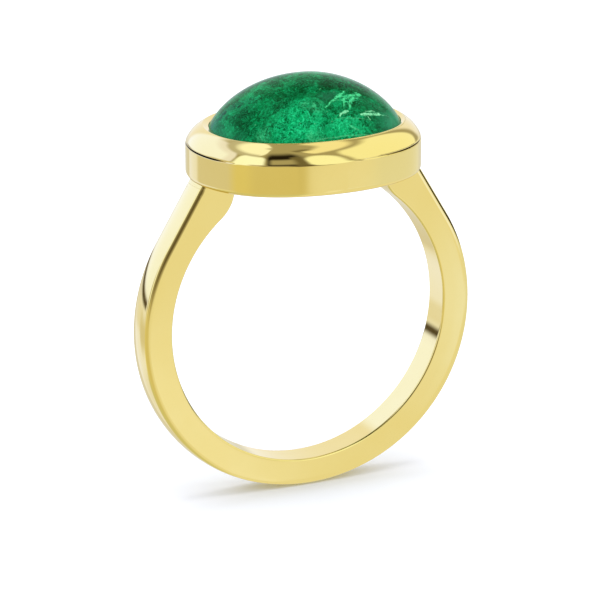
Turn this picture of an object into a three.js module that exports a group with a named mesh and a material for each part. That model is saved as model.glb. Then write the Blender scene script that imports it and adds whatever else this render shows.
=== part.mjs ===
// Bezel-set cabochon ring.
// Frame: origin at the centre of the finger hole, +Y along the finger, +Z towards the stone,
// X along the long axis of the oval head. Lengths are in millimetres, angles in radians.
import * as THREE from 'three';

// Finger hole and band
const FINGER_RADIUS = 8.4;
const BAND_WIDTH = 1.83;
const BAND_OUTER_RADIUS = 10.02;
const BAND_OUTER_DROP = 0.08;
const BAND_BASE_FLATTENING = 0.22;
const BAND_CROWN = 0.12;
const BAND_OUTER_ROUND = 0.2;
const BAND_INNER_ROUND = 0.07;
const SHOULDER_ANGLE = THREE.MathUtils.degToRad(31);
const FOOT_ANGLE = THREE.MathUtils.degToRad(50);
const FOOT_INNER_X = 4.54;
const FOOT_TOP_Z = 8.33;

// Oval head: half axes of the outer wall, and the heights of its features
const HEAD_HALF_LENGTH = 6.69;
const HEAD_HALF_WIDTH = 5.47;
const HEAD_SQUARENESS = 0.061;
const HEAD_BOTTOM_Z = 8.43;
const HEAD_BOTTOM_ROUND = 0.28;
const CREASE_Z = 10.27;
const LIP_TOP_Z = 11.29;
const LIP_WIDTH = 0.95;
const LIP_BULGE = 0.13;
const LIP_EDGE_ROUND = 0.04;
const LIP_FOOT_Z = 10.8;
const LIP_FOOT_OFFSET = 1.0;
const UNDERCUT_Z = 9.75;
const UNDERCUT_OFFSET = 0.6;
const WALL_STRAIGHT_Z = 9.6;
const WALL_THICKNESS = 0.55;

// Pieces inside the collar
const SOLDER_GAP = 0.02;
const SOLDER_THICKNESS = 0.06;
const PLATE_THICKNESS = 0.5;
const PLATE_INNER_OFFSET = 2.15;
const BEARING_HEIGHT = 0.55;
const BEARING_INNER_OFFSET = 1.45;

// Cabochon
const STONE_HALF_LENGTH = 5.95;
const STONE_HALF_WIDTH = 4.64;
const STONE_BASE_Z = 9.55;
const STONE_DOME_HEIGHT = 4.42;
const STONE_DOME_FULLNESS = 1.905;
const STONE_BEVEL = 0.12;

// Facet counts
const OVAL_STEPS = 80;
const DOME_STEPS = 12;
const LIP_STEPS = 6;
const CORNER_STEPS = 3;
const BAND_STEPS = 24;
const SHOULDER_STEPS = 5;
const FOOT_STEPS = 5;

const INNER_SEAM_OFFSET = WALL_THICKNESS + SOLDER_GAP;
const INSERT_OFFSET = INNER_SEAM_OFFSET + SOLDER_THICKNESS + SOLDER_GAP;
const PLATE_TOP_Z = HEAD_BOTTOM_Z + PLATE_THICKNESS;
const BEARING_BOTTOM_Z = PLATE_TOP_Z + SOLDER_GAP;
const BEARING_TOP_Z = BEARING_BOTTOM_Z + BEARING_HEIGHT - SOLDER_GAP;

// A point on an oval a little squarer than an ellipse, at a step count around it.
function ovalPoint(halfLength, halfWidth, step, z) {
  const angle = (2 * Math.PI * step) / OVAL_STEPS;
  const cos = Math.cos(angle);
  const sin = Math.sin(angle);
  const x = halfLength * cos * (1 + HEAD_SQUARENESS * sin * sin);
  const y = halfWidth * sin * (1 + HEAD_SQUARENESS * cos * cos);
  return new THREE.Vector3(x, y, z);
}

function ovalLoop(halfLength, halfWidth, z) {
  const loop = [];
  for (let step = 0; step < OVAL_STEPS; step += 1) {
    loop.push(ovalPoint(halfLength, halfWidth, step, z));
  }
  return loop;
}

function average(points) {
  const sum = new THREE.Vector3();
  points.forEach((point) => sum.add(point));
  return sum.divideScalar(points.length);
}

function signedVolume(points, faces) {
  const cross = new THREE.Vector3();
  let volume = 0;
  for (const [a, b, c] of faces) {
    cross.crossVectors(points[b], points[c]);
    volume += points[a].dot(cross) / 6;
  }
  return volume;
}

// Skins closed loops of equal length into one solid. With a start and an end point the two
// outer loops are closed by fans, and without them the last loop joins the first.
function skin(loops, start, end) {
  const size = loops[0].length;
  const points = loops.flat();
  const faces = [];
  const rings = start ? loops.length - 1 : loops.length;
  for (let ring = 0; ring < rings; ring += 1) {
    const here = ring * size;
    const next = ((ring + 1) % loops.length) * size;
    for (let i = 0; i < size; i += 1) {
      const j = (i + 1) % size;
      faces.push([here + i, next + i, next + j], [here + i, next + j, here + j]);
    }
  }
  if (start) {
    const last = (loops.length - 1) * size;
    points.push(start, end);
    for (let i = 0; i < size; i += 1) {
      const j = (i + 1) % size;
      faces.push([points.length - 2, i, j], [points.length - 1, last + j, last + i]);
    }
  }
  const outward = signedVolume(points, faces) > 0;
  const index = faces.flatMap(([a, b, c]) => (outward ? [a, b, c] : [a, c, b]));
  const geometry = new THREE.BufferGeometry().setFromPoints(points);
  geometry.setIndex(index);
  geometry.computeVertexNormals();
  return geometry;
}

function skinWithCaps(loops) {
  return skin(loops, average(loops[0]), average(loops[loops.length - 1]));
}

// An oval ring whose cross-section is a closed outline of (offset inward, height) points.
function ovalRing(outline) {
  const loops = [];
  for (let step = 0; step < OVAL_STEPS; step += 1) {
    loops.push(outline.map(([offset, z]) => (
      ovalPoint(HEAD_HALF_LENGTH - offset, HEAD_HALF_WIDTH - offset, step, z)
    )));
  }
  return skin(loops);
}

function rectangularOvalRing(outerOffset, innerOffset, bottomZ, topZ) {
  return ovalRing([
    [outerOffset, bottomZ],
    [outerOffset, topZ],
    [innerOffset, topZ],
    [innerOffset, bottomZ],
  ]);
}

// Quarter of the dome's outline: shrink of the oval and height share, from girdle to crown.
function domeShare(share) {
  const angle = share * Math.PI / 2;
  const power = 2 / STONE_DOME_FULLNESS;
  return [Math.cos(angle) ** power, Math.sin(angle) ** power];
}

function emeraldCabochon() {
  const base = ovalLoop(STONE_HALF_LENGTH - STONE_BEVEL, STONE_HALF_WIDTH - STONE_BEVEL, STONE_BASE_Z);
  const loops = [base];
  const girdleZ = STONE_BASE_Z + STONE_BEVEL;
  const domeHeight = STONE_DOME_HEIGHT - STONE_BEVEL;
  for (let step = 0; step < DOME_STEPS; step += 1) {
    const [shrink, rise] = domeShare(step / DOME_STEPS);
    const z = girdleZ + domeHeight * rise;
    loops.push(ovalLoop(STONE_HALF_LENGTH * shrink, STONE_HALF_WIDTH * shrink, z));
  }
  const baseCentre = new THREE.Vector3(0, 0, STONE_BASE_Z);
  const crown = new THREE.Vector3(0, 0, STONE_BASE_Z + STONE_DOME_HEIGHT);
  return skin(loops, baseCentre, crown);
}

// Rounded bottom corner of the collar, from the flat underside up to the outer wall.
function collarCorner() {
  const corner = [];
  for (let step = 0; step <= CORNER_STEPS; step += 1) {
    const angle = (step / CORNER_STEPS) * Math.PI / 2;
    const offset = HEAD_BOTTOM_ROUND * (1 - Math.sin(angle));
    const z = HEAD_BOTTOM_Z + HEAD_BOTTOM_ROUND * (1 - Math.cos(angle));
    corner.push([offset, z]);
  }
  return corner;
}

// Convex top of the lip, burnished over the stone: a parabola over its chord.
function lipTop() {
  const reach = LIP_WIDTH - LIP_EDGE_ROUND;
  const rise = LIP_TOP_Z - CREASE_Z;
  const chord = Math.hypot(reach, rise);
  const top = [];
  for (let step = 0; step <= LIP_STEPS; step += 1) {
    const share = step / LIP_STEPS;
    const bulge = 4 * LIP_BULGE * share * (1 - share);
    const offset = reach * share - bulge * rise / chord;
    const z = CREASE_Z + rise * share + bulge * reach / chord;
    top.push([Math.max(offset, 0), z]);
  }
  return top;
}

function bezelCollar() {
  const inside = [
    [LIP_WIDTH, LIP_TOP_Z - LIP_EDGE_ROUND],
    [LIP_FOOT_OFFSET, LIP_FOOT_Z],
    [UNDERCUT_OFFSET, UNDERCUT_Z],
    [WALL_THICKNESS, WALL_STRAIGHT_Z],
    [WALL_THICKNESS, HEAD_BOTTOM_Z],
  ];
  return ovalRing([...collarCorner(), ...lipTop(), ...inside]);
}

function basePlate() {
  return rectangularOvalRing(INSERT_OFFSET, PLATE_INNER_OFFSET, HEAD_BOTTOM_Z, PLATE_TOP_Z);
}

function bearingRing() {
  return rectangularOvalRing(INSERT_OFFSET, BEARING_INNER_OFFSET, BEARING_BOTTOM_Z, BEARING_TOP_Z);
}

// Solder that fills the seam between the collar wall and a piece fitted inside it.
function wallSolder(bottomZ, topZ) {
  const innerOffset = INNER_SEAM_OFFSET + SOLDER_THICKNESS;
  return rectangularOvalRing(INNER_SEAM_OFFSET, innerOffset, bottomZ + SOLDER_GAP, topZ - SOLDER_GAP);
}

function polar(radius, angle) {
  return new THREE.Vector2(radius * Math.cos(angle), radius * Math.sin(angle));
}

// Distance from the finger hole's centre to the band's outer circle, whose own centre is a
// little lower, by elevation above the +X axis.
function outerRadius(angle) {
  const across = BAND_OUTER_DROP * Math.cos(angle);
  const circle = Math.sqrt(BAND_OUTER_RADIUS ** 2 - across ** 2) - BAND_OUTER_DROP * Math.sin(angle);
  const flattening = angle < 0 ? BAND_BASE_FLATTENING * Math.sin(angle) ** 4 : 0;
  return circle - flattening;
}

// The band's outer line: round below, flattened at the base, and straight up each shoulder.
function outerPoint(angle) {
  if (angle < SHOULDER_ANGLE) return polar(outerRadius(angle), angle);
  return polar(outerRadius(SHOULDER_ANGLE) / Math.cos(angle - SHOULDER_ANGLE), angle);
}

function footOuterX() {
  const rise = FOOT_TOP_Z * Math.sin(SHOULDER_ANGLE);
  return (outerRadius(SHOULDER_ANGLE) - rise) / Math.cos(SHOULDER_ANGLE);
}

// Pairs of inner and outer points on one side of the band, from the base up to the foot.
function bandStations() {
  const stations = [];
  const addRay = (angle) => stations.push([polar(FINGER_RADIUS, angle), outerPoint(angle)]);
  for (let step = 0; step < BAND_STEPS; step += 1) {
    addRay(THREE.MathUtils.lerp(-Math.PI / 2, SHOULDER_ANGLE, step / BAND_STEPS));
  }
  for (let step = 0; step < SHOULDER_STEPS; step += 1) {
    addRay(THREE.MathUtils.lerp(SHOULDER_ANGLE, FOOT_ANGLE, step / SHOULDER_STEPS));
  }
  const footStart = polar(FINGER_RADIUS, FOOT_ANGLE);
  const footEnd = new THREE.Vector2(FOOT_INNER_X, FOOT_TOP_Z);
  const rise = (footStart.x - FOOT_INNER_X) / Math.tan(FOOT_ANGLE);
  const turn = new THREE.Vector2(FOOT_INNER_X, footStart.y + rise);
  const inner = new THREE.QuadraticBezierCurve(footStart, turn, footEnd);
  const outer = new THREE.LineCurve(outerPoint(FOOT_ANGLE), new THREE.Vector2(footOuterX(), FOOT_TOP_Z));
  for (let step = 0; step <= FOOT_STEPS; step += 1) {
    stations.push([inner.getPoint(step / FOOT_STEPS), outer.getPoint(step / FOOT_STEPS)]);
  }
  return stations;
}

// Half of the band's cross-section as (across, along) points, from the middle of the inner
// face round one side to the middle of the crown. Along is measured outward from the inner face.
function halfSection(thickness) {
  const side = BAND_WIDTH / 2;
  const half = [[0, 0], [side - BAND_INNER_ROUND, 0], [side, BAND_INNER_ROUND]];
  const flat = side - BAND_OUTER_ROUND;
  const crownAt = (across) => BAND_CROWN * (1 - (across / side) ** 2);
  for (let step = 0; step <= CORNER_STEPS; step += 1) {
    const angle = (step / CORNER_STEPS) * Math.PI / 2;
    const across = flat + BAND_OUTER_ROUND * Math.cos(angle);
    const along = thickness - BAND_OUTER_ROUND * (1 - Math.sin(angle)) + crownAt(across);
    half.push([across, along]);
  }
  half.push([flat / 2, thickness + crownAt(flat / 2)], [0, thickness + BAND_CROWN]);
  return half;
}

function bandSection([inner, outer], side, z) {
  const along = outer.clone().sub(inner);
  const thickness = along.length();
  along.normalize();
  const right = halfSection(thickness);
  const left = right.slice(1, -1).reverse().map(([across, height]) => [-across, height]);
  return [...right, ...left].map(([across, height]) => {
    const point = inner.clone().addScaledVector(along, height);
    return new THREE.Vector3(side * point.x, across, z ?? point.y);
  });
}

function shank() {
  const half = bandStations();
  const rightSide = half.map((station) => bandSection(station, 1));
  const leftSide = half.slice(1).reverse().map((station) => bandSection(station, -1));
  return skinWithCaps([...leftSide, ...rightSide]);
}

// Solder film between a foot of the shank and the underside of the head.
function shoulderSolder(side) {
  const stations = bandStations();
  const foot = stations[stations.length - 1];
  const bottomZ = FOOT_TOP_Z + SOLDER_GAP;
  const topZ = HEAD_BOTTOM_Z - SOLDER_GAP;
  return skinWithCaps([bandSection(foot, side, bottomZ), bandSection(foot, side, topZ)]);
}

function gold(color, roughness) {
  return new THREE.MeshStandardMaterial({ color, roughness, metalness: 1 });
}

function emerald() {
  return new THREE.MeshStandardMaterial({ color: '#0a7f49', roughness: 0.05, metalness: 0 });
}

function piece(name, geometry, material) {
  const mesh = new THREE.Mesh(geometry, material);
  mesh.name = name;
  return mesh;
}

const ring = new THREE.Group();
ring.name = 'cabochon_ring';
ring.add(
  piece('emerald_cabochon', emeraldCabochon(), emerald()),
  piece('bezel_collar', bezelCollar(), gold('#e2c663', 0.12)),
  piece('bearing_ring', bearingRing(), gold('#dcbf5c', 0.25)),
  piece('bearing_solder', wallSolder(BEARING_BOTTOM_Z, BEARING_TOP_Z), gold('#d3b55a', 0.35)),
  piece('base_plate', basePlate(), gold('#e0c461', 0.18)),
  piece('base_solder', wallSolder(HEAD_BOTTOM_Z, PLATE_TOP_Z), gold('#d3b55a', 0.35)),
  piece('shank', shank(), gold('#e6cb6c', 0.1)),
  piece('shoulder_solder_left', shoulderSolder(-1), gold('#d3b55a', 0.35)),
  piece('shoulder_solder_right', shoulderSolder(1), gold('#d3b55a', 0.35)),
);

export default ring;
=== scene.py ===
import math

import bmesh
import bpy
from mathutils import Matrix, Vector


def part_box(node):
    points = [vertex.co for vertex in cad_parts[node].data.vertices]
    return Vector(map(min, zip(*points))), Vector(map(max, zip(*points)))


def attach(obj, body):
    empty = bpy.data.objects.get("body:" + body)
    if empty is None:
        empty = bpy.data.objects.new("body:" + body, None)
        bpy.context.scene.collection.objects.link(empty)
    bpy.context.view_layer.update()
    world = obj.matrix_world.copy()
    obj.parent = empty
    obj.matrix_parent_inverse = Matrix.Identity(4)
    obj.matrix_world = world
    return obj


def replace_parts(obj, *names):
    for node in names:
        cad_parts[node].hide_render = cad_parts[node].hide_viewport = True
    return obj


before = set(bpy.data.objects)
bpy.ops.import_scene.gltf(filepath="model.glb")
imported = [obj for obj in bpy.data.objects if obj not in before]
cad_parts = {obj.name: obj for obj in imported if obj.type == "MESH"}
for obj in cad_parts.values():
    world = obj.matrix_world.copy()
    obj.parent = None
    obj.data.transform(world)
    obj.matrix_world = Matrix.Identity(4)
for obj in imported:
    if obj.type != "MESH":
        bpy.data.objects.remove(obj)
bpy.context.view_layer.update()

MM = 0.001


def box_mm(node):
    low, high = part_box(node)
    return low / MM, high / MM


# ---------------------------------------------------------------- sizes, in millimetres
collar_low, collar_high = box_mm("bezel_collar")
stone_low, stone_high = box_mm("emerald_cabochon")
plate_low, plate_high = box_mm("base_plate")
bearing_low, bearing_high = box_mm("bearing_ring")
plate_seam_low, plate_seam_high = box_mm("base_solder")
bearing_seam_low, bearing_seam_high = box_mm("bearing_solder")
shank_low, shank_high = box_mm("shank")

# An offset is measured inwards from the head's outer wall. The groove's shares run along the oval, as
# the cosine at which it starts and the one from which it is full.
HEAD_HALF_LENGTH = collar_high.x
HEAD_HALF_WIDTH = collar_high.y
HEAD_SQUARENESS = 0.061
HEAD_BOTTOM_Z = collar_low.z
HEAD_BOTTOM_ROUND = 0.28
HEAD_BOTTOM_INNER_ROUND = 0.03
CREASE_Z = 10.27
CREASE_REACH = 0.075
CREASE_GROOVE_HALF_WIDTH = 0.07
CREASE_GROOVE_DEPTH = 0.12
CREASE_GROOVE_FROM_RIGHT = (0.05, 0.75)
CREASE_GROOVE_FROM_LEFT = (0.80, 0.97)
LIP_TOP_Z = collar_high.z
LIP_WIDTH = 0.95
LIP_BULGE = 0.13
LIP_EDGE_ROUND = 0.09
LIP_BEVEL_Z = 11.18
LIP_BEVEL_OFFSET = 1.155
LIP_BEVEL_ROUND = 0.04
LIP_FOOT_Z = 10.8
LIP_FOOT_OFFSET = 0.98
LIP_FOOT_ROUND = 0.02
UNDERCUT_Z = 9.75
UNDERCUT_OFFSET = 0.6
WALL_STRAIGHT_Z = 9.6
WALL_THICKNESS = 0.55

INSERT_OFFSET = HEAD_HALF_LENGTH - plate_high.x
INSERT_EDGE_ROUND = 0.02
PLATE_INNER_OFFSET = 2.15
PLATE_ROUND = 0.09
BEARING_INNER_OFFSET = 1.45
BEARING_ROUND = 0.05
SEAM_SAG = 0.03
SEAM_GAP = 0.004
SEAM_SIDE_GAP = 0.002

# The stone is trimmed at both ends and shifted towards +X, as it sits in its collar.
STONE_TRIM = 0.09
STONE_HALF_LENGTH = stone_high.x - STONE_TRIM
STONE_SHIFT = 0.08
STONE_HALF_WIDTH = stone_high.y
STONE_BASE_Z = stone_low.z
STONE_DOME_HEIGHT = stone_high.z - stone_low.z
STONE_DOME_FULLNESS = 1.905
STONE_BEVEL = 0.12

FINGER_RADIUS = 8.4
BAND_HALF_WIDTH = shank_high.y
BAND_CROWN = 0.12
BAND_OUTER_RADIUS = 10.017
BAND_OUTER_DROP = 0.08
BAND_BASE_FLATTENING = 0.218
BAND_ROLL_HEIGHT = 0.34
BAND_ROLL_DEPTH = 0.065
BAND_EDGE_ROUND = 0.095
BAND_INNER_ROUND = 0.11
BAND_ARC_GUARD = 0.03
SHOULDER_ANGLE = math.radians(31)
FOOT_ANGLE = math.radians(50)
FOOT_INNER_X = 4.54
FOOT_TOP_Z = shank_high.z

OVAL_STEPS = 288
OVAL_ANGLES = [2 * math.pi * step / OVAL_STEPS for step in range(OVAL_STEPS)]
DOME_STEPS = 90
BAND_STEPS = 110
SHOULDER_STEPS = 24


# ---------------------------------------------------------------- mesh tools
def mesh_piece(name, loops, closed, material):
    """Skins closed loops of equal length. Closed joins the last loop to the first; if not, the
    two end loops are filled."""
    size = len(loops[0])
    points = [Vector(point) * MM for loop in loops for point in loop]
    faces = []
    rings = len(loops) if closed else len(loops) - 1
    for ring in range(rings):
        here = ring * size
        there = (ring + 1) % len(loops) * size
        for i in range(size):
            j = (i + 1) % size
            faces.append((here + i, here + j, there + j, there + i))
    if not closed:
        faces.append(tuple(reversed(range(size))))
        faces.append(tuple(range((len(loops) - 1) * size, len(loops) * size)))
    mesh = bpy.data.meshes.new(name)
    mesh.from_pydata(points, [], faces)
    mesh.validate()
    mesh.shade_smooth()
    face_outwards(mesh)
    mesh.materials.append(material)
    piece = bpy.data.objects.new(name, mesh)
    bpy.context.scene.collection.objects.link(piece)
    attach(piece, "root")
    return piece


def face_outwards(mesh):
    work = bmesh.new()
    work.from_mesh(mesh)
    bmesh.ops.recalc_face_normals(work, faces=work.faces)
    work.to_mesh(mesh)
    work.free()


def oval(half_length, half_width, angle, z):
    """A point of the head's outline: an ellipse, made a little squarer."""
    cos, sin = math.cos(angle), math.sin(angle)
    x = half_length * cos * (1 + HEAD_SQUARENESS * sin * sin)
    y = half_width * sin * (1 + HEAD_SQUARENESS * cos * cos)
    return (x, y, z)


def head_oval(offset, angle, z):
    return oval(HEAD_HALF_LENGTH - offset, HEAD_HALF_WIDTH - offset, angle, z)


def oval_ring(name, outline, material):
    """A ring in the head, from a closed outline of (offset, z) points."""
    loops = [[head_oval(offset, angle, z) for offset, z in outline] for angle in OVAL_ANGLES]
    return mesh_piece(name, loops, True, material)


def rounded(outline, radii, steps=6):
    """A closed outline whose corners are rounded; straight stretches keep a point near each arc,
    so that they shade flat."""
    guard = 0.15
    count = len(outline)
    result = []
    for i in range(count):
        before = Vector(outline[i - 1])
        corner = Vector(outline[i])
        after = Vector(outline[(i + 1) % count])
        radius = radii[i]
        if radius <= 0:
            result.append(tuple(corner))
            continue
        to_before = (before - corner).normalized()
        to_after = (after - corner).normalized()
        half = to_before.angle(to_after) / 2
        turn = math.pi - 2 * half
        reach = radius / math.tan(half)
        centre = corner + (to_before + to_after).normalized() * radius / math.sin(half)
        start = corner + to_before * reach
        end = corner + to_after * reach
        from_centre = start - centre
        side = (end - centre) - from_centre * math.cos(turn)
        side = side.normalized() * radius
        result.append(tuple(start + to_before * radius * guard))
        for step in range(steps + 1):
            sweep = turn * (step / steps)
            result.append(tuple(centre + from_centre * math.cos(sweep) + side * math.sin(sweep)))
        result.append(tuple(end + to_after * radius * guard))
    return result


def curved(start, corner, end, t):
    """A point of the smooth curve that leaves start towards corner and comes to end from it."""
    return start * (1 - t) ** 2 + corner * 2 * t * (1 - t) + end * t * t


# ---------------------------------------------------------------- node trees
class Graph:
    """A short way to write a node tree. A value is a number, a tuple or another node's output."""

    def __init__(self, tree):
        self.tree = tree

    def feed(self, socket, value):
        if isinstance(value, bpy.types.NodeSocket):
            self.tree.links.new(value, socket)
        else:
            socket.default_value = value

    def node(self, kind, inputs=(), **settings):
        node = self.tree.nodes.new("ShaderNode" + kind)
        for name, value in settings.items():
            setattr(node, name, value)
        for name, value in dict(inputs).items():
            self.feed(node.inputs[name], value)
        return node

    def math(self, operation, *values):
        return self.node("Math", enumerate(values), operation=operation).outputs[0]

    def vector(self, operation, *values):
        inputs = {"Scale" if operation == "SCALE" and i == 1 else i: v for i, v in enumerate(values)}
        node = self.node("VectorMath", inputs, operation=operation)
        return node.outputs["Value" if operation in ("LENGTH", "DOT_PRODUCT") else "Vector"]

    def share(self, value, low, high):
        """0 at low, 1 at high, with a soft turn at both ends."""
        inputs = {"Value": value, "From Min": low, "From Max": high}
        return self.node("MapRange", inputs, interpolation_type="SMOOTHSTEP").outputs["Result"]

    def noise(self, where, scale, detail=2.0, roughness=0.5, distortion=0.0, output=0):
        """A cloudy value, or a cloudy colour when output is Color."""
        inputs = {"Vector": where, "Scale": scale, "Detail": detail, "Roughness": roughness,
                  "Distortion": distortion}
        return self.node("TexNoise", inputs).outputs[output]

    def mix(self, share, first, second):
        node = self.node("Mix", data_type="RGBA")
        share_socket, first_socket, second_socket = node.inputs[0], node.inputs[6], node.inputs[7]
        self.feed(share_socket, share)
        self.feed(first_socket, (*first, 1) if isinstance(first, tuple) else first)
        self.feed(second_socket, (*second, 1) if isinstance(second, tuple) else second)
        return node.outputs[2]


def new_material(name):
    """A material, its graph, its shader and the place on the ring in millimetres."""
    material = bpy.data.materials.new(name)
    material.use_nodes = True
    graph = Graph(material.node_tree)
    shader = material.node_tree.nodes["Principled BSDF"]
    place = graph.node("TexCoord").outputs["Object"]
    return material, graph, shader, graph.vector("SCALE", place, 1 / MM)


# ---------------------------------------------------------------- gold
GOLD_COLOR = (0.80, 0.64, 0.25)
SOLDER_COLOR = (0.79, 0.63, 0.235)
HAIRLINE_STRETCH = (1.0, 7.0, 1.0)
# Painted shade: a dark line painted into the groove round the head, fullest at its ends.
GROOVE_SHADE_COLOR = (0.05, 0.035, 0.012)
GROOVE_SHADE_HALF_WIDTH = 0.05
GROOVE_SHADE_LEAST_WIDTH = 0.004
GROOVE_SHADE_LEFT_X = (-5.75, -6.35)
GROOVE_SHADE_RIGHT_X = (0.6, 4.4)
GROOVE_SHADE_RIGHT_AMOUNT = 0.8


def painted_groove_shade(graph, place, unshaded):
    """Paints shade into the graver's groove round the head: a dark line, widest and darkest towards its
    ends.
    """
    axes = graph.node("SeparateXYZ", {0: place}).outputs
    away = graph.math("ABSOLUTE", graph.math("SUBTRACT", axes["Z"], CREASE_Z))
    left = graph.share(axes["X"], *GROOVE_SHADE_LEFT_X)
    right = graph.math("MULTIPLY", graph.share(axes["X"], *GROOVE_SHADE_RIGHT_X), GROOVE_SHADE_RIGHT_AMOUNT)
    amount = graph.math("MAXIMUM", left, right)
    wide = graph.math("MULTIPLY_ADD", amount, GROOVE_SHADE_HALF_WIDTH, GROOVE_SHADE_LEAST_WIDTH)
    cover = graph.share(graph.math("DIVIDE", away, wide), 1.2, 0.6)
    return graph.mix(graph.math("MULTIPLY", cover, amount), unshaded, GROOVE_SHADE_COLOR)


def gold_material(name, color, rough, wave, scratch, shade_groove=False):
    """Polished gold. Rough is the mean roughness; wave is the height of the hand polisher's slow
    waves, and scratch that of the fine hairlines, both in millimetres."""
    material, graph, shader, place = new_material(name)
    shader.inputs["Metallic"].default_value = 1
    clouds = graph.noise(place, 0.35, 3)
    paler = tuple(1 - (1 - c) * 0.985 for c in color)
    deeper = tuple(c * d for c, d in zip(color, (0.995, 0.99, 0.97)))
    tone = graph.mix(graph.share(clouds, 0.3, 0.7), deeper, paler)
    # painted shade in the head's groove, for the head's gold
    graph.feed(shader.inputs["Base Color"], painted_groove_shade(graph, place, tone) if shade_groove else tone)
    hairlines = graph.noise(graph.vector("MULTIPLY", place, HAIRLINE_STRETCH), 9, 4, 0.7)
    smudges = graph.share(graph.noise(place, 0.9, 4, 0.6), 0.35, 0.75)
    spread = graph.math("MULTIPLY_ADD", smudges, rough * 0.7, rough * 0.65)
    spread = graph.math("MULTIPLY_ADD", hairlines, rough * 0.3, spread)
    graph.feed(shader.inputs["Roughness"], spread)
    slow = graph.math("MULTIPLY", graph.noise(place, 0.45, 1), wave)
    height = graph.math("MULTIPLY_ADD", hairlines, scratch, slow)
    bump = graph.node("Bump", {"Strength": 1.0, "Distance": MM, "Height": height})
    graph.feed(shader.inputs["Normal"], bump.outputs["Normal"])
    return material


# ---------------------------------------------------------------- emerald
DEEP_GREEN = (0.0, 0.060, 0.013)
LEFT_GREEN = (0.001, 0.125, 0.038)
MID_GREEN = (0.004, 0.20, 0.068)
RIGHT_GREEN = (0.010, 0.165, 0.068)
BRIGHT_GREEN = (0.008, 0.36, 0.14)
VEIL = (0.040, 0.18, 0.090)
MINT = (0.06, 0.60, 0.28)
MILK = (0.11, 0.46, 0.22)
FLAKE = (0.32, 0.68, 0.38)
# painted sheen: the paler rim that grazing reflection gives near the girdle
PAINTED_RIM_SHEEN = (0.08, 0.33, 0.185)
FEATHER = (0.14, 0.60, 0.28)
STONE_CONTRAST = 1.42
STONE_TINT = (1.40, 1.42, 1.62)
STONE_ROUGHNESS = 0.05
STONE_IOR = 1.57
STONE_SPECULAR = 0.024

# Frayed ovals seen from above, in millimetres: ((x, y, half size along x, half size along y), how strong,
# colour), each laid over those before it. They are partly the stone's own colour zones and partly painted
# light: a painted glow in the bright zones near the front edge, and painted shade in the deep zones nearer
# the top.
BODY_ZONES_AND_PAINTED_LIGHT = [
    ((3.4, -2.9, 1.9, 1.5), 0.9, RIGHT_GREEN),
    ((-1.7, -3.8, 2.2, 1.0), 0.8, BRIGHT_GREEN),
    ((0.9, -4.1, 2.4, 0.8), 0.85, BRIGHT_GREEN),
    ((-3.0, 0.0, 1.2, 1.0), 0.5, BRIGHT_GREEN),
    ((1.5, -1.5, 2.2, 1.3), 0.95, DEEP_GREEN),
    ((-1.0, -1.4, 1.3, 1.0), 0.75, DEEP_GREEN),
    ((-3.9, -1.3, 1.0, 1.0), 0.5, DEEP_GREEN),
    ((-2.6, -2.1, 1.0, 0.6), 0.7, DEEP_GREEN),
    ((1.7, -2.8, 1.0, 0.45), 0.7, DEEP_GREEN),
]
# Laid later, over the clouds: the deep zones here are partly the stone's own colour and partly painted
# shade.
LATER_ZONES = [
    ((1.0, -1.5, 1.5, 0.8), 0.45, DEEP_GREEN),
    ((-1.2, -1.9, 1.0, 0.7), 0.5, DEEP_GREEN),
    ((0.35, -2.45, 1.0, 0.55), 0.8, VEIL),
    ((0.3, -3.15, 0.45, 0.25), 0.7, DEEP_GREEN),
]
JARDIN_OVALS = [(-1.9, -3.5, 2.6, 1.5), (0.8, -3.9, 2.2, 0.9)]
MILKY_OVALS = [(-0.8, -2.95, 0.85, 0.5), (-1.3, -4.08, 0.75, 0.4), (-3.75, -3.05, 0.6, 0.45)]
CLEAR_OVAL = (3.3, -2.7, 2.0, 1.6)
HALO_OVAL = (1.55, -2.62, 1.0, 0.55)

# Cracks and growth lines in the stone. Each is a run of (x, y, half width) in millimetres.
FEATHERS = [
    [(-0.12, -3.08, 0.03), (0.33, -2.86, 0.05), (0.72, -2.62, 0.08), (1.0, -2.46, 0.12),
     (1.2, -2.32, 0.07), (1.52, -2.1, 0.05)],
    [(1.05, -2.48, 0.05), (1.32, -2.5, 0.06), (1.7, -2.42, 0.12), (2.05, -2.32, 0.15), (2.42, -2.2, 0.10)],
    [(1.36, -2.52, 0.05), (1.2, -2.68, 0.11), (1.12, -2.84, 0.07), (1.0, -3.1, 0.03)],
    [(1.86, -2.46, 0.05), (1.7, -2.7, 0.11), (1.42, -2.96, 0.10), (1.3, -3.2, 0.04)],
    [(1.3, -2.3, 0.03), (1.42, -2.14, 0.06), (1.62, -2.08, 0.03)],
    [(1.3, -2.62, 0.02), (1.62, -2.58, 0.05), (1.95, -2.56, 0.04), (2.2, -2.46, 0.02)],
    [(0.75, -2.72, 0.02), (1.0, -2.74, 0.05), (1.3, -2.82, 0.04), (1.5, -2.8, 0.02)],
    [(1.9, -2.3, 0.03), (2.1, -2.14, 0.05), (2.3, -2.08, 0.02)],
]
FLAKES = [
    [(0.52, -3.5, 0.03), (0.72, -3.42, 0.06), (0.95, -3.36, 0.07), (1.16, -3.3, 0.03)],
    [(1.93, -3.38, 0.07), (2.1, -3.36, 0.10), (2.36, -3.3, 0.06), (2.7, -3.2, 0.08),
     (3.05, -3.08, 0.06), (3.3, -3.0, 0.02), (3.85, -2.8, 0.01)],
    [(2.28, -3.36, 0.05), (2.42, -3.48, 0.03)],
    [(2.25, -3.2, 0.015), (2.6, -3.1, 0.03), (2.9, -3.0, 0.015)],
]
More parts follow.
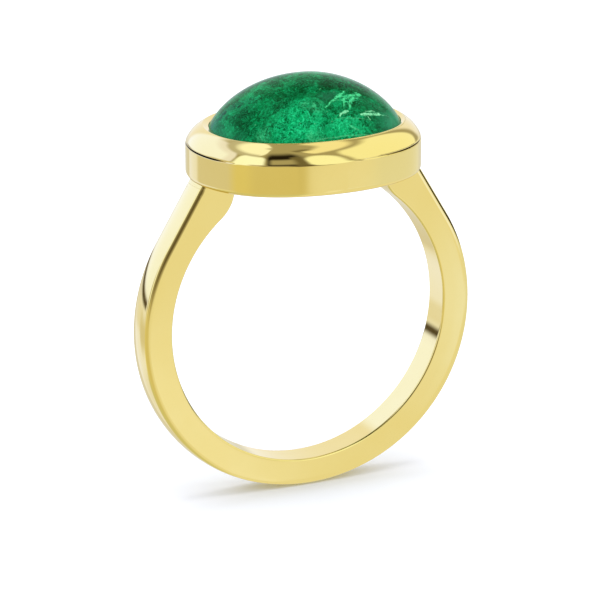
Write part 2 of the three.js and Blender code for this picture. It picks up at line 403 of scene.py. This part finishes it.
LINES = [
    [(-1.2, -4.16, 0.02), (0.0, -4.22, 0.02), (1.2, -4.16, 0.025), (2.1, -4.04, 0.02),
     (3.0, -3.76, 0.01)],
    [(1.0, -3.88, 0.03), (1.25, -3.96, 0.06), (1.5, -3.98, 0.02)],
    [(0.2, -3.62, 0.012), (1.3, -3.6, 0.02), (2.4, -3.52, 0.012)],
    [(-2.1, 0.28, 0.03), (-1.95, 0.3, 0.06), (-1.8, 0.36, 0.02)],
    [(0.02, -1.98, 0.03), (0.1, -1.92, 0.05), (0.2, -1.86, 0.015)],
]


class StonePaint:
    """The emerald's colour, laid on in layers. Places are in millimetres from the ring's origin."""

    def __init__(self, graph, place):
        self.graph = graph
        self.place = place
        self.seen_from_above = graph.vector("MULTIPLY", place, (1, 1, 0))
        self.tremble = self.shake(3.2, 5, 0.7)
        ragged = graph.vector("ADD", place, graph.vector("SCALE", self.tremble, 0.28))
        self.ragged_from_above = graph.vector("MULTIPLY", ragged, (1, 1, 0))
        self.bent = graph.vector("ADD", place, graph.vector("SCALE", self.shake(0.8, 3, 0.6), 0.9))
        frayed = graph.vector("ADD", self.bent, graph.vector("SCALE", self.tremble, 0.9))
        self.frayed_from_above = graph.vector("MULTIPLY", frayed, (1, 1, 0))

        self.jardin = self.most([self.blob(*zone) for zone in JARDIN_OVALS])
        clear = self.blob(*CLEAR_OVAL, core=0.4)
        cloudy = graph.math("MULTIPLY_ADD", self.jardin, 0.5, 0.35)
        self.strength = graph.math("MULTIPLY", cloudy, graph.math("MULTIPLY_ADD", clear, -0.55, 1.0))
        self.crumple = graph.noise(self.bent, 1.5, 9, 0.66, 2.4)
        self.curl = graph.noise(self.bent, 3.6, 7, 0.7, 1.8)

        zones = graph.noise(self.bent, 0.6, 3, 0.6)
        self.color = graph.mix(graph.share(zones, 0.36, 0.62), LEFT_GREEN, MID_GREEN)

    def shake(self, scale, detail, roughness):
        """A cloudy push to and fro along all three axes."""
        cloud = self.graph.noise(self.place, scale, detail, roughness, output="Color")
        return self.graph.vector("SUBTRACT", cloud, (0.5, 0.5, 0.5))

    def most(self, shares):
        cover = shares[0]
        for share in shares[1:]:
            cover = self.graph.math("MAXIMUM", cover, share)
        return cover

    def blob(self, x, y, reach_x, reach_y, core=0.1):
        """1 at (x, y), and 0 outside a frayed oval of these half sizes seen from above."""
        apart = self.graph.vector("SUBTRACT", self.frayed_from_above, (x, y, 0))
        apart = self.graph.vector("MULTIPLY", apart, (1 / reach_x, 1 / reach_y, 0))
        return self.graph.share(self.graph.vector("LENGTH", apart), 1.0, core)

    def run(self, points, where):
        """1 along a run of (x, y, half width) points."""
        graph = self.graph
        parts = []
        for (x, y, wide), (next_x, next_y, next_wide) in zip(points, points[1:]):
            along = Vector((next_x - x, next_y - y, 0))
            apart = graph.vector("SUBTRACT", where, (x, y, 0))
            done = graph.vector("DOT_PRODUCT", apart, tuple(along / along.length_squared))
            done = graph.math("MINIMUM", graph.math("MAXIMUM", done, 0.0), 1.0)
            nearest = graph.node("VectorMath", {0: tuple(along), "Scale": done}, operation="SCALE")
            gap = graph.vector("LENGTH", graph.vector("SUBTRACT", apart, nearest.outputs[0]))
            width = graph.math("MULTIPLY_ADD", done, next_wide - wide, wide)
            parts.append(graph.share(graph.math("DIVIDE", gap, width), 1.25, 0.2))
        return self.most(parts)

    def ridges(self, where, *settings):
        """0 along the winding middle lines of a noise, and more away from them."""
        middle = self.graph.math("SUBTRACT", self.graph.noise(where, *settings), 0.5)
        return self.graph.math("ABSOLUTE", middle)

    def lay(self, share, amount, over):
        self.color = self.graph.mix(self.graph.math("MULTIPLY", share, amount), self.color, over)

    def lay_zones(self, zones):
        for zone, amount, over in zones:
            self.lay(self.blob(*zone), amount, over)

    def lay_clouds(self):
        """Curled clouds and facets, the emerald's jardin."""
        graph = self.graph
        self.lay(graph.share(self.crumple, 0.50, 0.58), self.strength, BRIGHT_GREEN)
        self.lay(graph.share(self.crumple, 0.47, 0.38), 0.6, DEEP_GREEN)
        tangled = graph.vector("ADD", self.bent, graph.vector("SCALE", self.tremble, 0.7))
        facets = graph.node("TexVoronoi", {"Vector": tangled, "Scale": 3.0}, feature="F1")
        facet = graph.vector("DOT_PRODUCT", facets.outputs["Color"], (1, 0, 0))
        self.lay(graph.share(facet, 0.55, 0.8), graph.math("MULTIPLY", self.strength, 0.6), BRIGHT_GREEN)
        self.lay(graph.share(facet, 0.4, 0.15), 0.5, DEEP_GREEN)
        self.lay(graph.share(self.curl, 0.53, 0.62), graph.math("MULTIPLY", self.jardin, 0.6), MINT)
        self.lay(graph.share(self.curl, 0.45, 0.38), 0.5, DEEP_GREEN)

    def lay_threads(self):
        """Bright threads: winding ones, then wisps combed in one direction."""
        graph = self.graph
        winding = graph.share(self.ridges(self.bent, 1.3, 6, 0.7, 2.6), 0.02, 0.0)
        thick = graph.share(graph.noise(self.bent, 0.8, 2), 0.40, 0.6)
        self.lay(graph.math("MULTIPLY", winding, thick), 0.45, MINT)
        turn = {"Vector": self.bent, "Angle": math.radians(-35)}
        combed = graph.node("VectorRotate", turn, rotation_type="Z_AXIS").outputs[0]
        combed = graph.vector("MULTIPLY", combed, (1.0, 2.6, 1.6))
        wisps = graph.share(self.ridges(combed, 1.5, 5, 0.62, 1.6), 0.026, 0.006)
        self.lay(graph.math("MULTIPLY", wisps, self.strength), 0.9, MINT)

    def lay_milk(self):
        graph = self.graph
        milky = self.most([self.blob(*zone) for zone in MILKY_OVALS])
        clotted = graph.share(self.crumple, 0.36, 0.6)
        curled = graph.share(self.curl, 0.44, 0.58)
        amount = graph.math("MULTIPLY_ADD", graph.math("MULTIPLY", clotted, curled), 0.75, 0.15)
        self.lay(milky, amount, MILK)

    def lay_grain(self):
        grain = self.graph.noise(self.place, 8.0, 4, 0.8)
        self.lay(self.graph.share(grain, 0.54, 0.36), 0.25, DEEP_GREEN)
        self.lay(self.graph.share(grain, 0.58, 0.72), 0.2, MINT)

    def lay_cracks(self):
        """Feathers in their halo, flakes and growth lines, all broken up along their length."""
        graph = self.graph
        halo = graph.math("MULTIPLY", self.blob(*HALO_OVAL), graph.share(self.curl, 0.51, 0.56))
        self.lay(halo, 0.6, MINT)
        broken = graph.share(graph.noise(self.place, 6.0, 4, 0.8, 0.6), 0.40, 0.54)
        for all_points, where, varied, steady, over in (
            (FEATHERS, self.ragged_from_above, 0.7, 0.15, FEATHER),
            (FLAKES, self.ragged_from_above, 0.65, 0.3, FLAKE),
            (LINES, self.seen_from_above, 0.2, 0.1, FLAKE),
        ):
            cover = self.most([self.run(points, where) for points in all_points])
            self.lay(cover, graph.math("MULTIPLY_ADD", broken, varied, steady), over)

    def lay_painted_rim_sheen(self):
        """A painted sheen near the girdle, at the two ends of the oval: the paler rim that grazing
        reflection gives, painted into the colour.
        """
        graph = self.graph
        axes = graph.node("SeparateXYZ", {0: self.place}).outputs
        measure = (1 / STONE_HALF_LENGTH, 1 / STONE_HALF_WIDTH, 0)
        outward = graph.vector("LENGTH", graph.vector("MULTIPLY", self.place, measure))
        ends = self.most([graph.share(axes["X"], 2.2, 4.4), graph.share(axes["X"], -4.2, -5.6)])
        self.lay(graph.math("MULTIPLY", graph.share(outward, 0.76, 0.99), ends), 0.75, PAINTED_RIM_SHEEN)

    def lay_motes(self):
        """A few bright specks."""
        graph = self.graph
        motes = graph.node("TexVoronoi", {"Vector": self.place, "Scale": 2.3}, feature="F1")
        luck = graph.vector("DOT_PRODUCT", motes.outputs["Color"], (1, 0, 0))
        chosen = graph.math("MULTIPLY", graph.share(luck, 0.62, 0.64), 0.5)
        self.lay(graph.share(motes.outputs["Distance"], 0.09, 0.03), chosen, FLAKE)

    def finished(self):
        deepened = self.graph.node("Gamma", {"Color": self.color, "Gamma": STONE_CONTRAST})
        return self.graph.vector("MULTIPLY", deepened.outputs[0], STONE_TINT)


def emerald_material(name):
    material, graph, shader, place = new_material(name)
    paint = StonePaint(graph, place)
    # colour zones, partly painted glow and painted shade
    paint.lay_zones(BODY_ZONES_AND_PAINTED_LIGHT)
    paint.lay_clouds()
    paint.lay_threads()
    paint.lay_zones(LATER_ZONES)
    paint.lay_milk()
    paint.lay_grain()
    paint.lay_cracks()
    # painted reflection sheen near the rim
    paint.lay_painted_rim_sheen()
    paint.lay_motes()
    graph.feed(shader.inputs["Base Color"], paint.finished())
    shader.inputs["Roughness"].default_value = STONE_ROUGHNESS
    shader.inputs["IOR"].default_value = STONE_IOR
    shader.inputs["Specular IOR Level"].default_value = STONE_SPECULAR
    return material


gold = gold_material("polished_gold", GOLD_COLOR, 0.045, 0.0006, 0.00002)
# the head's gold carries the painted shade in its groove
head_gold = gold_material("polished_head_gold", GOLD_COLOR, 0.045, 0.0006, 0.00002, shade_groove=True)
inner_gold = gold_material("inner_gold", GOLD_COLOR, 0.11, 0.001, 0.0002)
solder = gold_material("gold_solder", SOLDER_COLOR, 0.1, 0.002, 0.0002)
emerald = emerald_material("emerald")


# ---------------------------------------------------------------- head
def lip_curve(steps=28):
    """The burnished lip as (offset, z) points, from the crease up to its inner edge."""
    rise = LIP_TOP_Z - CREASE_Z
    chord = math.hypot(LIP_WIDTH, rise)
    curve = []
    for step in range(steps + 1):
        share = step / steps
        bulge = 4 * LIP_BULGE * share * (1 - share)
        offset = LIP_WIDTH * share - bulge * rise / chord
        curve.append((offset, CREASE_Z + rise * share + bulge * LIP_WIDTH / chord))
    return curve


def crease(groove, lip, steps=16):
    """The soft turn from the wall to the lip, with a graver's groove in it. Groove is the share of
    the groove's full depth."""
    start = Vector((0, CREASE_Z - CREASE_REACH))
    corner = Vector((0, CREASE_Z))
    end = Vector(lip[1])
    points = []
    for step in range(steps + 1):
        point = curved(start, corner, end, step / steps)
        away = min(abs(point.y - CREASE_Z) / CREASE_GROOVE_HALF_WIDTH, 1)
        point.x += CREASE_GROOVE_DEPTH * groove * (1 - away * away) ** 3
        points.append(tuple(point))
    return points


def groove_share(cos):
    """How deep the groove is at this place, as a share of its depth. It is worn away along the sides,
    and more of it at -X."""
    low, high = CREASE_GROOVE_FROM_RIGHT if cos > 0 else CREASE_GROOVE_FROM_LEFT
    share = min(max((abs(cos) - low) / (high - low), 0), 1)
    return share * share * (3 - 2 * share)


def collar_outline(groove, reach):
    """The collar's section. Reach is how much further in the lip's bevel comes, to meet the stone."""
    lip = lip_curve()
    turn = crease(groove, lip)
    wall_top_z = CREASE_Z - 1.4 * CREASE_REACH
    outline = [(WALL_THICKNESS, HEAD_BOTTOM_Z), (0, HEAD_BOTTOM_Z), (0, wall_top_z)]
    outline += turn + lip[2:]
    outline += [(LIP_BEVEL_OFFSET + reach, LIP_BEVEL_Z), (LIP_FOOT_OFFSET + reach, LIP_FOOT_Z)]
    outline += [(UNDERCUT_OFFSET, UNDERCUT_Z), (WALL_THICKNESS, WALL_STRAIGHT_Z)]
    radii = [HEAD_BOTTOM_INNER_ROUND, HEAD_BOTTOM_ROUND, 0]
    radii += [0] * (len(turn) + len(lip) - 3) + [LIP_EDGE_ROUND]
    radii += [LIP_BEVEL_ROUND, LIP_FOOT_ROUND, 0, 0]
    return rounded(outline, radii, 8)


def collar_loops():
    loops = []
    for angle in OVAL_ANGLES:
        cos = math.cos(angle)
        reach = abs(cos) * (STONE_TRIM - math.copysign(STONE_SHIFT, cos))
        outline = collar_outline(groove_share(cos), reach)
        loops.append([head_oval(offset, angle, z) for offset, z in outline])
    return loops


def stone_loops():
    """The stone from the middle of its flat base, round its bevel and up the dome. It sits a little
    towards +X."""
    length, width = STONE_HALF_LENGTH, STONE_HALF_WIDTH
    levels = [(length * shrink, width * shrink, STONE_BASE_Z) for shrink in (0.02, 0.5, 0.9)]
    levels.append((length - STONE_BEVEL, width - STONE_BEVEL, STONE_BASE_Z))
    girdle_z = STONE_BASE_Z + STONE_BEVEL
    power = 2 / STONE_DOME_FULLNESS
    for step in range(DOME_STEPS):
        climb = step / DOME_STEPS * math.pi / 2
        shrink, rise = math.cos(climb) ** power, math.sin(climb) ** power
        height = (STONE_DOME_HEIGHT - STONE_BEVEL) * rise
        levels.append((length * shrink, width * shrink, girdle_z + height))
    loops = []
    for half_length, half_width, z in levels:
        flat = [oval(half_length, half_width, angle, z) for angle in OVAL_ANGLES]
        loops.append([(x + STONE_SHIFT, y, z) for x, y, z in flat])
    return loops


collar = mesh_piece("visual_bezel_collar", collar_loops(), True, head_gold)
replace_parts(collar, "bezel_collar")
stone = mesh_piece("visual_emerald", stone_loops(), False, emerald)
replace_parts(stone, "emerald_cabochon")


# ---------------------------------------------------------------- shank
def polar(radius, angle):
    return Vector((radius * math.cos(angle), radius * math.sin(angle)))


def outer_radius(angle):
    """The band's outer circle is set a little lower than the finger hole, and flattened below."""
    across = BAND_OUTER_DROP * math.cos(angle)
    circle = math.sqrt(BAND_OUTER_RADIUS**2 - across**2) - BAND_OUTER_DROP * math.sin(angle)
    flattening = BAND_BASE_FLATTENING * math.sin(angle) ** 4 if angle < 0 else 0
    return circle - flattening


def outer_point(angle):
    if angle < SHOULDER_ANGLE:
        return polar(outer_radius(angle), angle)
    return polar(outer_radius(SHOULDER_ANGLE) / math.cos(angle - SHOULDER_ANGLE), angle)


def band_stations():
    """Pairs of (inner, outer) points in the XZ plane, from the base up to the foot at +X."""
    stations = []
    for step in range(BAND_STEPS):
        angle = -math.pi / 2 + (FOOT_ANGLE + math.pi / 2) * step / BAND_STEPS
        stations.append((polar(FINGER_RADIUS, angle), outer_point(angle)))
    start = polar(FINGER_RADIUS, FOOT_ANGLE)
    rise = (start.x - FOOT_INNER_X) / math.tan(FOOT_ANGLE)
    turn = Vector((FOOT_INNER_X, start.y + rise))
    end = Vector((FOOT_INNER_X, FOOT_TOP_Z))
    outer_start = outer_point(FOOT_ANGLE)
    slope_distance = outer_radius(SHOULDER_ANGLE)
    outer_x = (slope_distance - FOOT_TOP_Z * math.sin(SHOULDER_ANGLE)) / math.cos(SHOULDER_ANGLE)
    outer_end = Vector((outer_x, FOOT_TOP_Z))
    just_below_top = 0.996
    for t in [step / SHOULDER_STEPS for step in range(SHOULDER_STEPS)] + [just_below_top, 1]:
        stations.append((curved(start, turn, end, t), outer_start.lerp(outer_end, t)))
    return stations


def half_section(thickness, arc_steps=8, crown_steps=10):
    """Half of the band's section as (across, height) points: a flat inside, a flat side that rolls
    in towards a crisp outer edge, and a crown. Flat stretches keep a point near each arc."""
    side = BAND_HALF_WIDTH
    half = [(0, 0), (0.5 * side, 0), (side - BAND_INNER_ROUND - BAND_ARC_GUARD, 0)]
    for step in range(arc_steps + 1):
        angle = step / arc_steps * math.pi / 2
        across = side - BAND_INNER_ROUND * (1 - math.sin(angle))
        half.append((across, BAND_INNER_ROUND * (1 - math.cos(angle))))
    roll_start = thickness - BAND_ROLL_HEIGHT
    half.append((side, BAND_INNER_ROUND + BAND_ARC_GUARD))
    half.append((side, (BAND_INNER_ROUND + roll_start) / 2))

    def crown(across):
        return thickness + BAND_CROWN * (1 - (across / side) ** 2)

    rolled = 1 - BAND_EDGE_ROUND / BAND_ROLL_HEIGHT
    for step in range(crown_steps):
        share = step / (crown_steps - 1) * rolled
        half.append((side - BAND_ROLL_DEPTH * share**2, roll_start + BAND_ROLL_HEIGHT * share))
    start = Vector(half[-1])
    corner = Vector((side - BAND_ROLL_DEPTH, crown(side - BAND_ROLL_DEPTH)))
    end_across = corner.x - BAND_EDGE_ROUND
    end = Vector((end_across, crown(end_across)))
    for step in range(1, arc_steps + 1):
        half.append(tuple(curved(start, corner, end, step / arc_steps)))
    for step in range(1, crown_steps + 1):
        across = end_across * (1 - step / crown_steps)
        half.append((across, crown(across)))
    return half


def band_section(inner, outer, side):
    """The band's whole section at one station, on the side of +X or -X."""
    along = outer - inner
    thickness = along.length
    along.normalize()
    right = half_section(thickness)
    left = [(-across, height) for across, height in reversed(right[1:-1])]
    section = []
    for across, height in right + left:
        point = inner + along * height
        section.append((side * point.x, across, point.y))
    return section


def shank_loops():
    half = band_stations()
    left = [band_section(*station, -1) for station in reversed(half[1:])]
    right = [band_section(*station, 1) for station in half]
    return left + right


shank = mesh_piece("visual_shank", shank_loops(), False, gold)
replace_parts(shank, "shank")


# ---------------------------------------------------------------- solder and the inner pieces
def head_edge_x(y):
    """How far the head's outer wall reaches along X, at this distance across."""
    sin = y / (HEAD_HALF_WIDTH * (1 + HEAD_SQUARENESS))
    return HEAD_HALF_LENGTH * math.sqrt(1 - sin * sin) * (1 + HEAD_SQUARENESS * sin * sin)


def under_head_z(x, y):
    """Height of the head's underside, which curls up towards the wall."""
    least_inset = 0.05
    inset = max(head_edge_x(y) - abs(x), least_inset)
    if inset >= HEAD_BOTTOM_ROUND:
        return HEAD_BOTTOM_Z
    reach = HEAD_BOTTOM_ROUND - inset
    return HEAD_BOTTOM_Z + HEAD_BOTTOM_ROUND - math.sqrt(HEAD_BOTTOM_ROUND**2 - reach**2)


def shoulder_seam(name, side):
    """Solder that fills the wedge between a foot and the curled underside of the head, in line
    with the shoulder's slope."""
    foot = [Vector(point) for point in band_section(*band_stations()[-1], side)]
    middle = sum(foot, Vector()) / len(foot)
    reach = max(abs(point.x) for point in foot) - FOOT_INNER_X

    def lifted(point):
        outward = (abs(point.x) - FOOT_INNER_X) / reach
        z = FOOT_TOP_Z
        x = point.x
        for _ in range(8):
            z = under_head_z(x, point.y) - SEAM_GAP
            x = point.x - side * outward * (z - FOOT_TOP_Z) * math.tan(SHOULDER_ANGLE)
        return (x, point.y, z)

    def low(point):
        return Vector((point.x, point.y, FOOT_TOP_Z + SEAM_GAP))

    loops = [[low(middle.lerp(point, shrink)) for point in foot] for shrink in (0.05, 0.5, 0.9, 0.985)]
    for rise in (0, 0.04, 0.5, 0.96, 1):
        loops.append([low(point).lerp(Vector(lifted(point)), rise) for point in foot])
    for shrink in (0.985, 0.95, 0.9, 0.8, 0.6, 0.3, 0.05):
        loops.append([lifted(middle.lerp(point, shrink)) for point in foot])
    return mesh_piece(name, loops, False, solder)


def wall_seam(name, low, high):
    """Solder between the collar's wall and a piece fitted inside it, hollowed above and below."""
    outer, inner = WALL_THICKNESS + SEAM_SIDE_GAP, INSERT_OFFSET - SEAM_SIDE_GAP
    middle = (outer + inner) / 2
    outline = [(outer, low), (middle, low + SEAM_SAG), (inner, low)]
    outline += [(inner, high), (middle, high - SEAM_SAG), (outer, high)]
    return oval_ring(name, outline, solder)


def inner_ring(name, inner_offset, low, high, corner):
    """A flat ring fitted inside the collar's wall."""
    outline = [(INSERT_OFFSET, low), (inner_offset, low), (inner_offset, high), (INSERT_OFFSET, high)]
    outline = rounded(outline, [INSERT_EDGE_ROUND, corner, corner, INSERT_EDGE_ROUND])
    return oval_ring(name, outline, inner_gold)


bearing_z = (bearing_low.z, bearing_high.z)
bearing = inner_ring("visual_bearing_ring", BEARING_INNER_OFFSET, *bearing_z, BEARING_ROUND)
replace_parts(bearing, "bearing_ring")
plate_z = (plate_low.z, plate_high.z)
plate = inner_ring("visual_base_plate", PLATE_INNER_OFFSET, *plate_z, PLATE_ROUND)
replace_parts(plate, "base_plate")
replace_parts(wall_seam("visual_bearing_solder", bearing_seam_low.z, bearing_seam_high.z), "bearing_solder")
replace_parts(wall_seam("visual_base_solder", plate_seam_low.z, plate_seam_high.z), "base_solder")
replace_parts(shoulder_seam("visual_shoulder_solder_left", -1), "shoulder_solder_left")
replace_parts(shoulder_seam("visual_shoulder_solder_right", 1), "shoulder_solder_right")


# ---------------------------------------------------------------- floor, light and camera, in metres
CAMERA_AZIMUTH = math.radians(-24.82)
CAMERA_ELEVATION = math.radians(17.91)
CAMERA_DISTANCE = 0.2
CAMERA_AIM = Vector((-0.08, 0.30, 0.74)) * MM
CAMERA_LENS = 212.1  # millimetres, as Blender measures a lens
CAMERA_NEAR = 0.01
CAMERA_FAR = 20

FLOOR_HALF_SIZE = 1.5
FLOOR_COLOR = (0.955, 0.97, 0.99)
FLOOR_ROUGHNESS = 0.9
FLOOR_SPECULAR = 0.1

LAMP_HEIGHT = 0.5
LAMP_SIZE = 0.35
LAMP_POWER = 1.1
BACKDROP = (1.1, 1.1, 1.1)
SOFT_LIGHT = (1.03, 1.04, 1.11)


def floor():
    """White paper. The metal mirrors the tent's own table cloth in its place."""
    z = shank_low.z * MM
    r = FLOOR_HALF_SIZE
    mesh = bpy.data.meshes.new("floor")
    mesh.from_pydata([(-r, -r, z), (r, -r, z), (r, r, z), (-r, r, z)], [], [(0, 1, 2, 3)])
    material, graph, shader, place = new_material("floor")
    darker = tuple(0.99 * c for c in FLOOR_COLOR)
    paper = graph.mix(graph.noise(place, 0.3, 4), FLOOR_COLOR, darker)
    graph.feed(shader.inputs["Base Color"], paper)
    shader.inputs["Roughness"].default_value = FLOOR_ROUGHNESS
    shader.inputs["Specular IOR Level"].default_value = FLOOR_SPECULAR
    mesh.materials.append(material)
    piece = bpy.data.objects.new("floor", mesh)
    piece.visible_glossy = False
    bpy.context.scene.collection.objects.link(piece)


BLACK = (0.02, 0.015, 0.01)
UMBER = (0.11, 0.09, 0.06)
DARK_BRONZE = (0.15, 0.13, 0.08)
BRONZE = (0.36, 0.33, 0.24)
PALE_BRONZE = (0.44, 0.41, 0.29)
SHADE = (0.20, 0.18, 0.11)
OLIVE = (0.50, 0.48, 0.37)
GREY = (0.66, 0.68, 0.70)
DIM = (0.72, 0.70, 0.66)
COOL_DIM = (0.84, 0.88, 1.05)
TABLE = (1.03, 1.05, 0.93)
LEFT_TABLE = (1.00, 1.06, 1.25)
LEFT_TABLE_EDGE = (0.98, 1.02, 1.12)
COOL_TABLE = (1.08, 1.18, 1.60)
NEAR_TABLE = (0.79, 0.81, 0.56)
HONEY_TABLE = (0.90, 0.85, 0.47)
WALL_TABLE = (0.85, 0.85, 0.78)
WARM_TABLE = (0.83, 0.78, 0.46)
RIGHT_TABLE = (1.02, 1.03, 0.90)
FAR_TABLE = (0.95, 1.01, 1.03)
BACK_TABLE = (0.82, 0.82, 0.76)
GLINT = (1.12, 1.17, 1.20)
COOL_GLINT = (1.08, 1.17, 1.34)
COOL_CARD = (1.20, 1.33, 1.80)
COOL = (1.07, 1.17, 1.80)
COOL_GLOW = (1.19, 1.39, 2.20)
COOL_FRONT = (1.28, 1.50, 1.82)
COOL_TOP = (1.26, 1.40, 1.60)
WARM = (1.20, 1.27, 1.08)
WARM_FRONT = (1.26, 1.40, 1.32)
WARM_TOP = (1.17, 1.18, 0.98)
BACK = (1.08, 1.12, 1.25)

# The light tent: cloths, black flags and the table as rounded panels, each laid over those before it.
# A panel is its azimuths and elevations in degrees, its corner radius, how soft its edge is, and its
# colour. Azimuth 0 is the side where the camera stands, and positive azimuths are on its right.
TENT = [
    # the table
    ((-200, 200), (-110, 0), 5, 1.5, TABLE),
    ((-230, -143), (-70, -1), 6, 4, BACK_TABLE),
    ((147, 230), (-70, -1), 6, 4, BACK_TABLE),
    ((-143, -88), (-70, -2.5), 6, 4, LEFT_TABLE),
    ((-118, 30), (-84, -30), 5, 5, NEAR_TABLE),
    ((-143, -88), (-27, -2.5), 6, 4, COOL_TABLE),
    ((-143, -113), (-12.5, -4.5), 3, 2, LEFT_TABLE_EDGE),
    ((-121, -30), (-19, -7), 5, 4, WALL_TABLE),
    ((-60, -22), (-34, -5), 10, 9, HONEY_TABLE),
    ((-34, 27), (-36, -5), 12, 10, WARM_TABLE),
    ((25, 68), (-18.3, -4), 3, 5, RIGHT_TABLE),
    ((27, 80), (-70, -17.5), 12, 9, RIGHT_TABLE),
    ((40, 68), (-60, -18), 3, 3, RIGHT_TABLE),
    ((14, 42.5), (-14.5, 1), 4, 3, PALE_BRONZE),
    ((8, 33), (-9.5, 4), 4, 3, DARK_BRONZE),
    ((38, 48.5), (-44, -20.6), 1, 1.5, GLINT),
    ((51.2, 95), (-21.8, -18.9), 1, 1.2, COOL_GLINT),
    ((74, 150), (-34, -8), 6, 14, FAR_TABLE),
    # the roof
    ((-172, -20), (61, 86), 13, 3, COOL_TOP),
    ((-172, -30), (54, 64), 5, 5, GREY),
    ((49, 152), (59.5, 71.5), 5.5, 2.5, WARM_TOP),
    ((42, 78), (71.5, 76), 3, 4, SHADE),
    # the walls
    ((-166, -134), (-6, 52), 4, 4, COOL_DIM),
    ((-144, -64), (0, 55), 15, 3, COOL),
    ((-156, -78), (1, 46), 8, 5, COOL_GLOW),
    ((-96, -64), (-3, 17), 8, 8, DIM),
    ((-14, 30), (48, 68), 8, 9, BLACK),
    ((-60, -16), (0, 57), 9, 3, COOL_FRONT),
    ((-34, -10), (-2, 23), 6, 5, DIM),
    ((29, 56), (-9, 53.5), 13.4, 3, WARM_FRONT),
    ((61, 139), (0, 55), 15, 3, WARM),
    ((-215, -152), (-4, 50), 12, 4, BACK),
    ((148, 215), (-4, 50), 12, 4, BACK),
    # the camera's opening
    ((-12, 20), (2, 60), 4, 3, BLACK),
    ((17, 29), (2, 56), 3, 3, SHADE),
    ((-8, 19), (33, 48.5), 4, 4.5, OLIVE),
    ((-20, 14), (-7, 14), 6, 6, BRONZE),
    # flags and a card on the table's rim
    ((-150, -105), (-3.0, 0.5), 1.6, 1.4, UMBER),
    ((57, 74), (-14.5, -9.5), 2.5, 2.4, COOL_CARD),
    ((75, 128), (-8.5, 0.5), 2, 1.5, BLACK),
]
TENT_TILT = math.radians(3)


def tent_angles(graph):
    """The ray's azimuth and elevation in the tent, in degrees."""
    direction = graph.node("TexCoord").outputs["Generated"]
    turn = {"Vector": direction, "Angle": -CAMERA_AZIMUTH}
    turned = graph.node("VectorRotate", turn, rotation_type="Z_AXIS").outputs[0]
    tilt = {"Vector": turned, "Angle": TENT_TILT}
    tilted = graph.node("VectorRotate", tilt, rotation_type="Y_AXIS").outputs[0]
    axes = graph.node("SeparateXYZ", {0: tilted}).outputs
    azimuth = graph.math("ARCTAN2", axes["X"], graph.math("MULTIPLY", axes["Y"], -1.0))
    elevation = graph.math("ARCSINE", axes["Z"])
    angles = graph.node("CombineXYZ", {"X": azimuth, "Y": elevation}).outputs[0]
    return graph.vector("SCALE", angles, 180 / math.pi)


def tent():
    """The world: the tent is mirrored in everything, matt things are lit evenly, and the camera
    sees white."""
    world = bpy.data.worlds.new("tent")
    bpy.context.scene.world = world
    world.use_nodes = True
    graph = Graph(world.node_tree)
    angles = tent_angles(graph)
    color = graph.node("RGB").outputs[0]
    color.default_value = (*OLIVE, 1)
    for (left, right), (bottom, top), corner, softness, cloth in TENT:
        centre = ((left + right) / 2, (bottom + top) / 2, 0)
        inner = ((right - left) / 2 - corner, (top - bottom) / 2 - corner, 0)
        apart = graph.vector("ABSOLUTE", graph.vector("SUBTRACT", angles, centre))
        beyond = graph.vector("MAXIMUM", graph.vector("SUBTRACT", apart, inner), (0, 0, 0))
        from_core = graph.vector("LENGTH", beyond)
        cover = graph.share(from_core, corner + softness, corner - softness)
        color = graph.mix(cover, color, cloth)
    ray = graph.node("LightPath").outputs
    color = graph.mix(ray["Is Diffuse Ray"], color, SOFT_LIGHT)
    color = graph.mix(ray["Is Camera Ray"], color, BACKDROP)
    graph.feed(world.node_tree.nodes["Background"].inputs["Color"], color)


def lamp():
    """A soft lamp overhead, for the white of the paper. It isn't mirrored in the metal."""
    data = bpy.data.lights.new("lamp", "AREA")
    data.size = LAMP_SIZE
    data.energy = LAMP_POWER
    piece = bpy.data.objects.new("lamp", data)
    piece.location = (0, 0, LAMP_HEIGHT)
    piece.visible_glossy = False
    bpy.context.scene.collection.objects.link(piece)


def camera():
    a, e = CAMERA_AZIMUTH, CAMERA_ELEVATION
    back = Vector((math.sin(a) * math.cos(e), -math.cos(a) * math.cos(e), math.sin(e)))
    data = bpy.data.cameras.new("camera")
    data.lens = CAMERA_LENS
    data.clip_start = CAMERA_NEAR
    data.clip_end = CAMERA_FAR
    cam = bpy.data.objects.new("camera", data)
    cam.location = back * CAMERA_DISTANCE
    cam.rotation_mode = "QUATERNION"
    cam.rotation_quaternion = (CAMERA_AIM - cam.location).to_track_quat("-Z", "Y")
    bpy.context.scene.collection.objects.link(cam)
    bpy.context.scene.camera = cam


floor()
tent()
lamp()
camera()
bpy.context.scene.view_settings.view_transform = "Standard"
